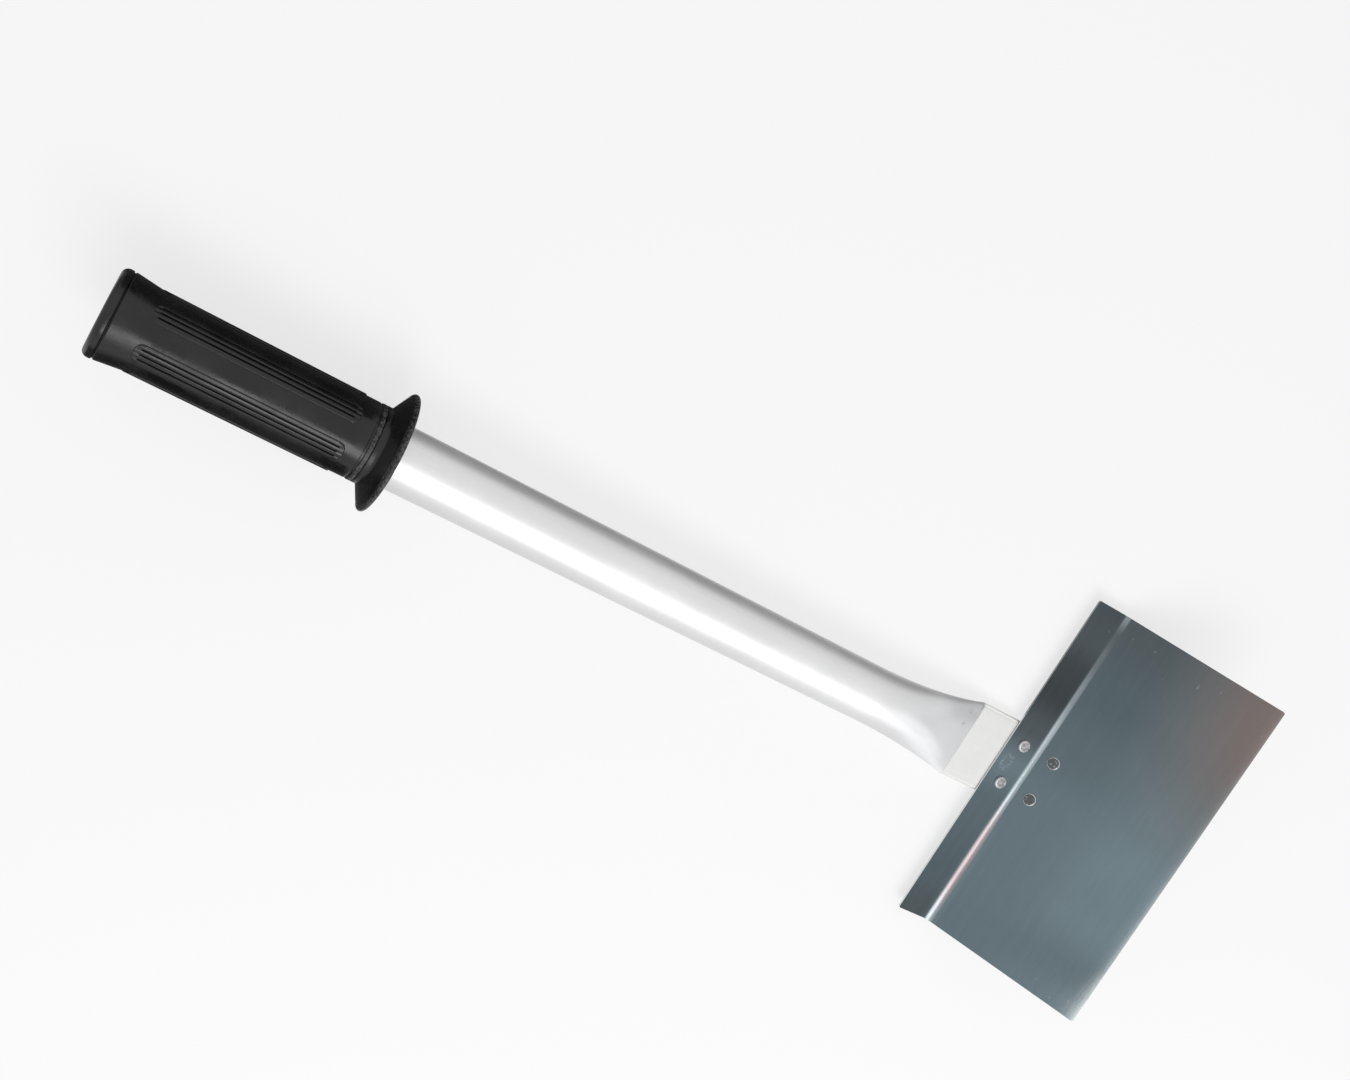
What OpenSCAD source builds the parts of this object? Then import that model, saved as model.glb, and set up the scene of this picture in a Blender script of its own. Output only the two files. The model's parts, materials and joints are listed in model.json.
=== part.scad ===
// Roofing shovel: a bent sheet-steel blade riveted onto the flattened end of
// a plain aluminium tube, with a ribbed rubber grip pushed onto the other end.
// The tool lies face up: the guard's rim and the heel rivets' tails touch the
// ground. +X runs from the grip to the blade, +Y to the left, +Z up.

/* [Tube] */
// Outside diameter of the tube
tube_d = 25.4; // [20:0.1:32]
// Wall of the tube
tube_wall = 1.65; // [1:0.05:2]
// Length of round tube from the guard to where the tube begins to flatten
bare_len = 228; // [120:1:400]
// Length over which the tube flattens
flare_len = 59.2; // [40:0.1:90]
// Drop of the flat tab's middle below the tube's axis
tab_drop = 5.35; // [0:0.05:9]
// Most that the flare's top hangs below a plain flattened shape
flare_sag = 2.4; // [0:0.1:3]
// Slit left inside the flattened end
tab_slit = 0.3; // [0.1:0.05:0.6]
// Length of flat tab that shows behind the blade
tab_show = 20; // [5:0.5:40]
// Length of tab past the bend, under the main panel
tab_past = 15; // [12:0.5:30]
// Radius of the tab's end corners
tab_corner_r = 3; // [1:0.5:8]

/* [Blade] */
// Width of the blade
blade_w = 168; // [80:1:260]
// Thickness of the blade's sheet
blade_t = 1.1; // [0.6:0.1:2]
// Length of the flat heel strip behind the bend
heel_len = 14.7; // [12:0.1:30]
// Length of the flat main panel in front of the bend
panel_len = 75.5; // [40:0.5:160]
// Angle that the main panel is bent up from the heel strip
bend_angle = 38.3; // [15:0.1:60]
// Radius of the bend on the face side
bend_r = 5.5; // [2:0.5:15]
// Radius of the blade's corners
corner_r = 1; // [0.5:0.5:5]

/* [Rivets] */
// Diameter of a rivet's shank
rivet_d = 3.2; // [2:0.1:4]
// Diameter of a rivet's head on the face
rivet_head_d = 5.8; // [5:0.1:7]
// Height of a rivet's head
rivet_head_h = 1.2; // [1:0.1:2]
// Rounding of a head's edge
rivet_head_round = 0.7; // [0.3:0.1:0.9]
// Diameter of a rivet's tail under the tab
rivet_tail_d = 5; // [4.6:0.1:7]
// Height of a rivet's tail
rivet_tail_h = 1.6; // [0.5:0.1:2]
// Distance between the rivets of a pair
rivet_spacing = 19.9; // [12:0.1:26]
// Distance of the heel pair behind the bend
heel_rivet_back = 6; // [3.5:0.1:8]
// Distance of the face pair past the bend
face_rivet_out = 6.9; // [3.5:0.1:8]

/* [Grip] */
// Length of the grip from its butt face to the guard's front face
grip_len = 108.5; // [80:0.5:140]
// Rubber wall over the tube
grip_wall = 2.45; // [1.5:0.05:5]
// Rubber wall behind the tube's end
grip_end_wall = 4; // [2:0.5:10]
// Reach of the butt ring above the grip's body
butt_lip = 1.5; // [0.5:0.1:4]
// Length of the butt ring
butt_ring_len = 3.5; // [2.6:0.1:8]
// Rounding of the butt ring's outer edge
butt_round = 2.5; // [0.5:0.1:2.6]
// Distance from the butt face to where the butt's cone meets the body
butt_cone_len = 16.5; // [8:0.5:30]
// Width of the V groove in front of the butt ring
butt_groove_w = 1; // [0.5:0.1:2]
// Depth of the V groove
butt_groove_h = 0.7; // [0.3:0.1:1.2]
// Number of raised panels around the grip
panel_count = 6; // [3:1:8]
// Angle that one raised panel spans
panel_angle = 30; // [15:1:40]
// Height of the raised panels
panel_h = 0.45; // [0.2:0.05:1]
// Distance from the butt face to the raised panels
panel_start = 14.3; // [8:0.1:25]
// Distance from the guard's front face to the raised panels
panel_stop = 17.3; // [13:0.1:30]
// Corner radius of a raised panel
panel_corner_r = 3.4; // [1:0.1:3.8]
// Ribs on each raised panel
panel_ribs = 4; // [2:1:6]
// Width of the grooves between ribs
rib_groove_w = 0.7; // [0.3:0.05:1]
// Plain stretch between a rib groove and its panel's end
rib_groove_stop = 2.6; // [1:0.1:6]
// Turn of the panels about the tube's axis
grip_turn = 11.3; // [0:0.1:60]

/* [Guard] */
// Diameter of the guard's rim
guard_d = 47.8; // [40:0.1:70]
// Thickness of the guard's rounded rim
guard_edge = 1.8; // [1:0.1:4]
// Angle between the guard's back and the tube's axis
guard_angle = 61.4; // [45:0.1:80]
// Fillet between the guard's back and the neck
guard_fillet = 1.6; // [0.5:0.1:3]
// Distance from the guard's front face to the groove behind the neck ring
neck_groove_back = 10.6; // [8:0.1:12.5]
// Width of the neck groove
neck_groove_w = 0.8; // [0.4:0.1:1.5]
// Depth of the neck groove
neck_groove_h = 0.4; // [0.2:0.1:0.8]
// Height of the neck ring above the grip's body
neck_ring_h = 0.15; // [0:0.05:0.6]

/* [Fits] */
// Gap between the tube and the grip's bore, on the radius
grip_fit = 0.1; // [0.05:0.05:0.2]
// Gap between the tube's end and the bottom of the grip's bore
grip_end_gap = 0.3; // [0.1:0.1:0.5]
// Gap between the blade and the tab
seat_gap = 0.1; // [0.05:0.05:0.3]
// Gap around a rivet's shank, on the radius
rivet_fit = 0.05; // [0.05:0.05:0.1]

/* [Hidden] */
first_rivet = 3;
$fn = 96;

// Tube and flattened tab. The wall's middle line keeps its length all the way.
tube_r = tube_d / 2;
tube_mid_r = tube_r - tube_wall / 2;
tab_end_r = (tab_slit + tube_wall) / 2;
tab_t = 2 * tube_wall + tab_slit;
tab_w = PI * (tube_mid_r - tab_end_r) + tab_t;
tab_top = tab_t / 2 - tab_drop;
tab_bottom = tab_top - tab_t;
flare_steps = 18;
bend_steps = 12;
ring_points = 56;
// The flare's sides stay near the tube's axis and drop late
drop_power = 4;
// Most that u * u * (1 - u) reaches along the flare, two thirds of the way down
sag_peak = 4 / 27;
// How far the ring's points crowd toward the tube's two sides, in degrees
side_crowding = 22;
// How far the first ring lies inside the tube's wall, so that it meets it cleanly
join_inset = 0.12;
// Share of a corner's radius by which its arc crosses the faces it rounds off
corner_cross = 0.03;

// Places along the tube's axis, measured from the butt face
tube_start = grip_end_wall + grip_end_gap;
flare_start = grip_len + bare_len;
fold_x = flare_start + flare_len;
heel_x = fold_x + tab_show;
bend_x = heel_x + heel_len;

// Heights of the blade and the centre that all bent layers share
blade_bottom = tab_top + seat_gap;
blade_top = blade_bottom + blade_t;
bend_z = blade_top + bend_r;

// Grip: the tube's own size sets the bore, and the bore sets the body
grip_bore_r = tube_r + grip_fit;
body_r = grip_bore_r + grip_wall;
butt_r = body_r + butt_lip;
panel_r = body_r + panel_h;
panel_root_r = body_r - grip_wall / 2;
panel_w = 2 * panel_r * sin(panel_angle / 2);
guard_r = guard_d / 2;
bead_r = guard_edge / 2;

// Rivets: the layers that they hold, and the spherical caps of their tails
rivet_grip = blade_top - tab_bottom;
function cap_r(d, h) = (d * d / 4 + h * h) / (2 * h);
tail_cap_r = cap_r(rivet_tail_d, rivet_tail_h);

// The tool rests on the guard's rim and on the heel rivets' tails: the ground
// is the line that touches both round shapes from below.
rim_x = grip_len - bead_r;
rim_z = -(guard_r - bead_r);
tail_x = bend_x - heel_rivet_back;
tail_z = tab_bottom - rivet_tail_h + tail_cap_r;
rim_to_tail = norm([tail_x - rim_x, tail_z - rim_z]);
lay_angle = atan2(tail_z - rim_z, tail_x - rim_x)
    + asin((bead_r - tail_cap_r) / rim_to_tail);
ground = rim_x * sin(lay_angle) - rim_z * cos(lay_angle) + bead_r;

// The two ends of the laid tool along the ground
function laid_x(p) = p[0] * cos(lay_angle) + p[1] * sin(lay_angle);
function bent(p) = [bend_x + (p[0] - bend_x) * cos(bend_angle) - (p[1] - bend_z) * sin(bend_angle),
    bend_z + (p[0] - bend_x) * sin(bend_angle) + (p[1] - bend_z) * cos(bend_angle)];
back_end = laid_x([butt_round, butt_round - butt_r]) - butt_round;
front_end = laid_x(bent([bend_x + panel_len, blade_bottom]));

// Turns what is drawn straight past the bend line up to the bend angle.
module past_bend() {
    translate([bend_x, 0, bend_z])
        rotate([0, -bend_angle, 0])
            translate([-bend_x, 0, -bend_z])
                children();
}

// Puts children on a rivet's axis, with z = 0 at the tab's underside. The heel
// pair comes first, and each pair's left rivet before its right one.
module at_rivet(i) {
    y = (i % 2 == 0 ? 1 : -1) * rivet_spacing / 2;
    if (i < 2)
        translate([bend_x - heel_rivet_back, y, tab_bottom])
            children();
    else
        past_bend()
            translate([bend_x + face_rivet_out, y, tab_bottom])
                children();
}

// Lays the straight tool on the ground with its middle over the origin.
module lay() {
    translate([-(back_end + front_end) / 2, 0, ground])
        rotate([0, lay_angle, 0])
            children();
}

// What is cut away to round the two corners of an end at x = 0 of a plate that
// runs toward -X, seen from above.
module end_corners(w, r) {
    clear = 1;
    inset = r * (1 - corner_cross);
    for (side = [0, 1])
        mirror([0, side])
            translate([-inset, w / 2 - inset])
                difference() {
                    square(r + clear);
                    circle(r);
                }
}

// One hole for each rivet, through every layer.
module rivet_holes() {
    clear = 1;
    for (i = [0 : 3])
        at_rivet(i)
            translate([0, 0, -clear])
                cylinder(r = rivet_d / 2 + rivet_fit, h = rivet_grip + 2 * clear);
}

// Side view of one face of the blade, seen from the bend's centre.
function blade_face(r) = [
    [-heel_len, -r],
    for (i = [0 : bend_steps])
        let (a = bend_angle * i / bend_steps)
        [r * sin(a), -r * cos(a)],
    [r * sin(bend_angle) + panel_len * cos(bend_angle), panel_len * sin(bend_angle) - r * cos(bend_angle)]
];

// Blade: heel strip, bend and main panel of one sheet.
module blade() {
    upper = blade_face(bend_r);
    lower = blade_face(bend_r + blade_t);
    color("slategray")
        lay()
            difference() {
                translate([bend_x, blade_w / 2, bend_z])
                    rotate([90, 0, 0])
                        linear_extrude(blade_w)
                            polygon(concat(lower, [for (i = [len(upper) - 1 : -1 : 0]) upper[i]]));
                translate([heel_x, 0, blade_bottom - blade_t])
                    mirror([1, 0, 0])
                        linear_extrude(3 * blade_t)
                            end_corners(blade_w, corner_r);
                past_bend()
                    translate([bend_x + panel_len, 0, blade_bottom - blade_t])
                        linear_extrude(3 * blade_t)
                            end_corners(blade_w, corner_r);
                rivet_holes();
            }
}

// A point of a flattened ring. b runs 0 to 360 degrees round the tube from its
// left side, end_r is the middle line's end radius and off the step outward. The
// ring's top hangs sag below that plain shape.
function ring_point(b, end_r, sag, off) =
    let (
        left = b < 90 || b > 270,
        up = b < 180,
        quarter = left ? (up ? b : 360 - b) : (up ? 180 - b : b - 180),
        run = tube_mid_r * quarter * PI / 180,
        half_flat = PI * (tube_mid_r - end_r) / 2,
        turn = min(90, run / end_r * 180 / PI),
        slide = max(0, run - end_r * PI / 2),
        y = half_flat + (end_r + off) * cos(turn) - slide,
        z = (end_r + off) * sin(turn)
    )
    [(left ? 1 : -1) * y, up ? z - sag * pow(sin(turn), 2) : -z];

// One skin of the ring [x, z, tilt, end_r, sag]: round [x, z] on the axis,
// turned up by tilt degrees.
function ring(r, off) =
    [for (i = [0 : ring_points - 1])
        let (
            a = i * 360 / ring_points,
            p = ring_point(a - side_crowding * sin(2 * a), r[3], r[4], off)
        )
        [r[0] - p[1] * sin(r[2]), p[0], r[1] + p[1] * cos(r[2])]];

// The pressed end's rings: down the flare, along the tab and round its bend.
tab_mid = tab_top - tab_t / 2;
tab_bend_r = bend_z - tab_mid;
pressed_rings = [
    for (i = [0 : flare_steps])
        let (
            u = i / flare_steps,
            end_r = tube_mid_r + (tab_end_r - tube_mid_r) * u * u,
            sag = flare_sag * u * u * (1 - u) / sag_peak
        )
        [flare_start + flare_len * u, -tab_drop * pow(u, drop_power), 0, end_r, sag],
    for (i = [0 : bend_steps])
        let (tilt = bend_angle * i / bend_steps)
        [bend_x + tab_bend_r * sin(tilt), bend_z - tab_bend_r * cos(tilt), tilt, tab_end_r, 0],
    let (end = bent([bend_x + tab_past, tab_mid]))
    [end[0], end[1], bend_angle, tab_end_r, 0]
];

// Half the wall's thickness at each ring.
half_wall = [for (j = [1 : len(pressed_rings)]) tube_wall / 2 - (j == 1 ? join_inset : 0)];

// The pressed end: an outer and an inner skin of rings, joined by its two ends.
module pressed_end() {
    n = ring_points;
    last = (len(pressed_rings) - 1) * n;
    skin = last + n;
    outer = [for (j = [0 : len(pressed_rings) - 1]) each ring(pressed_rings[j], half_wall[j])];
    inner = [for (j = [0 : len(pressed_rings) - 1]) each ring(pressed_rings[j], -half_wall[j])];
    walls = [for (j = [0 : n : last - n], i = [0 : n - 1])
        let (k = (i + 1) % n, a = j + i, b = j + k, c = b + n, d = a + n)
        each [[a, c, b], [a, d, c], [skin + a, skin + b, skin + c], [skin + a, skin + c, skin + d]]];
    ends = [for (i = [0 : n - 1])
        let (k = (i + 1) % n, e = last + i, f = last + k)
        each [[i, skin + k, skin + i], [i, k, skin + k], [e, skin + e, skin + f], [e, skin + f, f]]];
    polyhedron(points = concat(outer, inner), faces = concat(walls, ends), convexity = 6);
}

// Handle tube: round tube, flare and flat tab, bent along with the blade.
module handle_tube() {
    clear = 1;
    length = flare_start - tube_start;
    color("gainsboro")
        lay()
            difference() {
                union() {
                    translate([tube_start, 0, 0])
                        rotate([0, 90, 0])
                            difference() {
                                cylinder(r = tube_r, h = length);
                                translate([0, 0, -clear])
                                    cylinder(r = tube_r - tube_wall, h = length + 2 * clear);
                            }
                    pressed_end();
                }
                past_bend()
                    translate([bend_x + tab_past, 0, tab_bottom - tab_t])
                        linear_extrude(3 * tab_t)
                            end_corners(tab_w, tab_corner_r);
                rivet_holes();
            }
}

// Half outline of the grip without its bore: radius along X, length along Y.
module grip_outline() {
    // Body, butt cone and butt ring
    translate([0, butt_round])
        square([body_r, grip_len - butt_round]);
    polygon([[0, butt_ring_len], [butt_r, butt_ring_len], [body_r, butt_cone_len], [0, butt_cone_len]]);
    translate([0, butt_round])
        square([butt_r, butt_ring_len - butt_round]);
    square([butt_r - butt_round, butt_ring_len]);
    translate([butt_r - butt_round, butt_round])
        circle(butt_round);
    // Neck ring and guard
    translate([0, grip_len - neck_groove_back])
        square([body_r + neck_ring_h, neck_groove_back - guard_edge]);
    guard_outline();
}

// The guard's back is a cone that touches the rim's round edge, and a fillet
// runs from the cone into the neck ring.
module guard_outline() {
    neck_r = body_r + neck_ring_h;
    edge = [guard_r - bead_r, grip_len - bead_r];
    outward = [cos(guard_angle), -sin(guard_angle)];
    reach = edge * outward + bead_r;
    rim_point = edge + bead_r * outward;
    fillet_a = ((neck_r + guard_fillet) * outward[0] - reach - guard_fillet) / -outward[1];
    fillet = [neck_r + guard_fillet, fillet_a];
    foot = fillet - guard_fillet * outward;
    translate(edge)
        circle(bead_r);
    difference() {
        polygon([
            [0, fillet_a],
            [neck_r, fillet_a],
            foot,
            rim_point,
            edge,
            [edge[0], grip_len],
            [0, grip_len]
        ]);
        translate(fillet)
            circle(guard_fillet);
    }
}

// The V groove in front of the butt ring and the groove behind the neck ring.
module ring_grooves() {
    clear = 1;
    v_half = butt_groove_w / 2 * (1 + clear / butt_groove_h);
    translate([butt_r, butt_ring_len + butt_groove_w / 2])
        polygon([[clear, -v_half], [clear, v_half], [-butt_groove_h, 0]]);
    translate([body_r - neck_groove_h, grip_len - neck_groove_back - neck_groove_w / 2])
        square([neck_groove_h + clear, neck_groove_w]);
}

// One raised panel, centred on +Z, with grooves between its ribs.
module raised_panel() {
    length = grip_len - panel_start - panel_stop;
    pitch = panel_angle / panel_ribs;
    difference() {
        translate([panel_start, 0, 0])
            rotate([90, 0, 90])
                rotate([0, 0, 90 - panel_angle / 2])
                    rotate_extrude(angle = panel_angle)
                        translate([panel_root_r, 0])
                            square([panel_r - panel_root_r, length]);
        translate([panel_start, 0, 0])
            mirror([1, 0, 0])
                linear_extrude(2 * body_r)
                    end_corners(panel_w, panel_corner_r);
        translate([panel_start + length, 0, 0])
            linear_extrude(2 * body_r)
                end_corners(panel_w, panel_corner_r);
        for (i = [1 : panel_ribs - 1])
            rotate([i * pitch - panel_angle / 2, 0, 0])
                translate([panel_start + rib_groove_stop, 0, panel_r])
                    rotate([0, 90, 0])
                        cylinder(r = rib_groove_w / 2, h = length - 2 * rib_groove_stop);
    }
}

// Grip: one rubber moulding with a closed butt end.
module grip() {
    color("dimgray")
        lay()
            difference() {
                union() {
                    rotate([90, 0, 90])
                        rotate_extrude()
                            difference() {
                                grip_outline();
                                ring_grooves();
                            }
                    for (i = [0 : panel_count - 1])
                        rotate([-grip_turn + (i + 0.5) * 360 / panel_count, 0, 0])
                            raised_panel();
                }
                translate([grip_end_wall, 0, 0])
                    rotate([0, 90, 0])
                        cylinder(r = grip_bore_r, h = grip_len);
            }
}

// A low dome standing on z = 0.
module dome(d, h) {
    rotate_extrude()
        intersection() {
            translate([0, h - cap_r(d, h)])
                circle(cap_r(d, h));
            square([d / 2, h]);
        }
}

// A flat head with a rounded edge, standing on z = 0.
module button(d, h, round) {
    edge = [d / 2 - round, h - round];
    rotate_extrude()
        intersection() {
            union() {
                square([edge[0], h]);
                square([d / 2, edge[1]]);
                translate(edge)
                    circle(round);
            }
            square([d / 2, h]);
        }
}

// Rivet: shank, head on the face and tail under the tab.
module rivet(i) {
    color("silver")
        lay()
            at_rivet(i) {
                cylinder(d = rivet_d, h = rivet_grip);
                translate([0, 0, rivet_grip])
                    button(rivet_head_d, rivet_head_h, rivet_head_round);
                mirror([0, 0, 1])
                    dome(rivet_tail_d, rivet_tail_h);
            }
}

blade();
handle_tube();
grip();
for (i = [0 : 3]) rivet(i);
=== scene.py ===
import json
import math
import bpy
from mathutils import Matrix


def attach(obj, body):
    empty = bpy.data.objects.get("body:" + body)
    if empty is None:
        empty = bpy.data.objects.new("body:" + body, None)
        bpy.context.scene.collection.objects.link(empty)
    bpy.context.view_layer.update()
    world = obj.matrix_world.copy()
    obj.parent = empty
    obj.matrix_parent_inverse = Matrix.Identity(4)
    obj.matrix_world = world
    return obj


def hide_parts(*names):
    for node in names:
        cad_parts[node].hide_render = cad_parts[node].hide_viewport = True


bl_info = {
    "name": "Roofing shovel",
    "version": (1, 0, 0),
    "blender": (4, 5, 0),
    "location": "3D View > Sidebar > Shovel",
    "description": "Builds the surfaces, finishes and studio of a short-handled roofing shovel",
    "category": "Object",
}

from functools import reduce

import bpy
import numpy as np
from mathutils import Matrix

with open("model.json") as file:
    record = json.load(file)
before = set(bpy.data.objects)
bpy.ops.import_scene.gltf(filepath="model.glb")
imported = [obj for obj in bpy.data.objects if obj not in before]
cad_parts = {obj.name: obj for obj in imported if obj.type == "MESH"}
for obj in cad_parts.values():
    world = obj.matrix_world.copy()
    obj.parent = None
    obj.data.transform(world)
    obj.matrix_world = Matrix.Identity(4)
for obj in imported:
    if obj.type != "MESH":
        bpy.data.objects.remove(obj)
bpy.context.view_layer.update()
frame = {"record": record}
MOUNTS = {m["name"]: m for m in frame["record"]["mounts"]}
BARE_TUBE = MOUNTS["clip_zone"]["dims"]
MM = 0.001

# The tool's own axes: from the middle of the butt face along the tube, to the
# left, and up from the tube.
BUTT = np.array(MOUNTS["butt_face"]["pos_m"])
ALONG = -np.array(MOUNTS["butt_face"]["axis"])
ALONG /= np.linalg.norm(ALONG)
LEFT = np.array((0.0, 1.0, 0.0))
UP = np.cross(ALONG, LEFT)

# Two dents on the flare, in mm: distance behind the fold, place to the left of
# the middle, and depth
DENTS = ((7.0, 13.9, 0.3), (6.4, 6.8, 0.2))
# Squares of a dent's reach along the tube and across it, in mm
DENT_LONG, DENT_WIDE = 2.4, 0.9
# Dark marks beside the fold, in mm: distance behind it, place to the left, and size
PRESS_MARKS = ((7.0, 13.9, 1.7), (6.6, 6.8, 2.2), (1.2, -4.0, 1.6), (1.4, 17.0, 1.6))

# The studio, in metres: each card's two ends along x, its line of y and z
# places, and its grey
EDGE_CARD = (-0.6, 0.5), ((0.022, 0.001), (0.30, 0.001)), 0.39
GRIP_CARD = (-0.26, -0.142), ((-0.045, 0.042), (-0.045, 0.002), (0.045, 0.002), (0.045, 0.046)), 0.13
FLOOR_REACH = 15.0
SOFTBOX_PLACE = (0.42, -0.74, 1.2)
SOFTBOX_SIZE = (1.3, 0.66)
SOFTBOX_TURN = math.radians(-21)

# The camera, by the tool's own axes: its right, its down, and its place in mm.
# Its sensor and lens are in mm too.
CAMERA_RIGHT = (0.81892, 0.50992, 0.26335)
CAMERA_DOWN = (0.42538, -0.84733, 0.31792)
CAMERA_PLACE = (6.932, 103.914, 512.645)
SENSOR_WIDTH, LENS = 36.0, 37.836


# ---- Sizes and colours ----


def length(name, millimetres, description):
    """A length that a user can change, given in millimetres and kept in metres."""
    return bpy.props.FloatProperty(
        name=name, description=description, default=millimetres * MM, min=0.0, precision=5, unit="LENGTH"
    )


def angle(name, degrees, description):
    """An angle that a user can change, given in degrees."""
    return bpy.props.FloatProperty(
        name=name, description=description, default=math.radians(degrees), subtype="ANGLE"
    )


def share(name, value, description):
    """A number from 0 to 1 that a user can change."""
    return bpy.props.FloatProperty(
        name=name, description=description, default=value, min=0.0, max=1.0, subtype="FACTOR"
    )


def colour(name, rgb, description):
    """A colour that a user can change."""
    return bpy.props.FloatVectorProperty(
        name=name, description=description, default=rgb, size=3, min=0.0, max=1.0, subtype="COLOR"
    )


class ShovelTube(bpy.types.PropertyGroup):
    """Sizes and colour of the aluminium handle tube"""

    diameter: length("Diameter", 2 * BARE_TUBE["r_mm"], "Outside diameter of the tube")
    wall: length("Wall", 1.65, "Thickness of the tube's wall")
    start: length("Start", 4.3, "Distance of the tube's hidden end from the butt face")
    bare: length("Bare length", BARE_TUBE["length_mm"], "Round tube between the guard and the flare")
    flare: length("Flare", 59.2, "Length over which the tube flattens")
    drop: length("Drop", 5.35, "Drop of the flat tab's middle below the tube's axis")
    sag: length("Flare sag", 2.4, "Most that the flare's top hangs below a plain flattened shape")
    slit: length("Slit", 0.3, "Slit left inside the flattened end")
    tab_show: length("Tab", 20.0, "Flat tab that shows behind the blade")
    tab_past: length("Tab under panel", 15.0, "Tab past the bend, under the main panel")
    tab_corner: length("Tab corner", 3.0, "Radius of the tab's end corners")
    metal: colour("Metal", (0.72, 0.72, 0.727), "Colour of the satin aluminium")
    pale: colour("Pressed metal", (0.675, 0.675, 0.663), "Colour of the pressed tab")


class ShovelBlade(bpy.types.PropertyGroup):
    """Sizes and colours of the spring-steel blade"""

    width: length("Width", 168.0, "Width of the blade")
    thickness: length("Thickness", 1.1, "Thickness of the sheet")
    heel: length("Heel", 14.7, "Flat heel strip behind the bend")
    panel: length("Panel", 75.5, "Flat main panel in front of the bend")
    bend: angle("Bend", 38.3, "Angle of the main panel above the heel strip")
    bend_radius: length("Bend radius", 5.5, "Radius of the bend on the face side")
    corner: length("Corner", 1.0, "Radius of the blade's corners")
    seat_gap: length("Seat gap", 0.1, "Gap between the blade and the tab")
    burr: length("Edge", 0.12, "Width of the broken edge round the sheet")
    # The steel's blue-grey is its own, and its darkness is partly a painted dark reflection
    steel: colour("Steel", (0.113, 0.156, 0.174), "Colour of the blue-grey steel")
    # The darkest steel is painted dark reflection, mostly on the heel strip
    shade: colour("Steel's painted dark reflection", (0.055, 0.066, 0.072), "Colour of the steel's darkest bands")
    # Painted warm reflection in the panel's front left corner
    warm_reflection: colour("Painted warm reflection", (0.180, 0.143, 0.132), "Colour of the painted warm reflection in the front left corner")
    # Painted highlight along the bend
    glint: colour("Bend", (0.34, 0.395, 0.42), "Colour of the bright line along the bend")
    # Painted warm reflection in the bend's highlight toward the right
    rose: colour("Warm bend", (0.29, 0.24, 0.25), "Colour of that line toward the right")
    bright: colour("Ground steel", (0.50, 0.52, 0.52), "Colour of the sheet's ground edges")


class ShovelRivets(bpy.types.PropertyGroup):
    """Sizes and colour of the four rivets"""

    shank: length("Shank", 3.2, "Diameter of a rivet's shank")
    head: length("Head", 5.8, "Diameter of a rivet's head")
    head_height: length("Head height", 1.2, "Height of a rivet's head")
    head_round: length("Head rounding", 0.7, "Rounding of a head's edge")
    tail: length("Tail", 5.0, "Diameter of a rivet's tail under the tab")
    tail_height: length("Tail height", 1.6, "Height of a rivet's tail")
    spacing: length("Spacing", 19.9, "Distance between the rivets of a pair")
    heel_back: length("Heel pair", 6.0, "Distance of the heel pair behind the bend")
    face_out: length("Face pair", 6.9, "Distance of the face pair past the bend")
    metal: colour("Metal", (0.33, 0.33, 0.335), "Colour of the heel rivets' hammered heads")
    # The face rivets' heads are a painted dark reflection, and their rims a painted highlight
    dark_reflection: colour("Rivet's painted dark reflection", (0.092, 0.1, 0.102), "Colour of the face rivets' smooth heads")
    rim: colour("Rim", (0.9, 0.9, 0.89), "Colour of the face rivets' bright rims")


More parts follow.
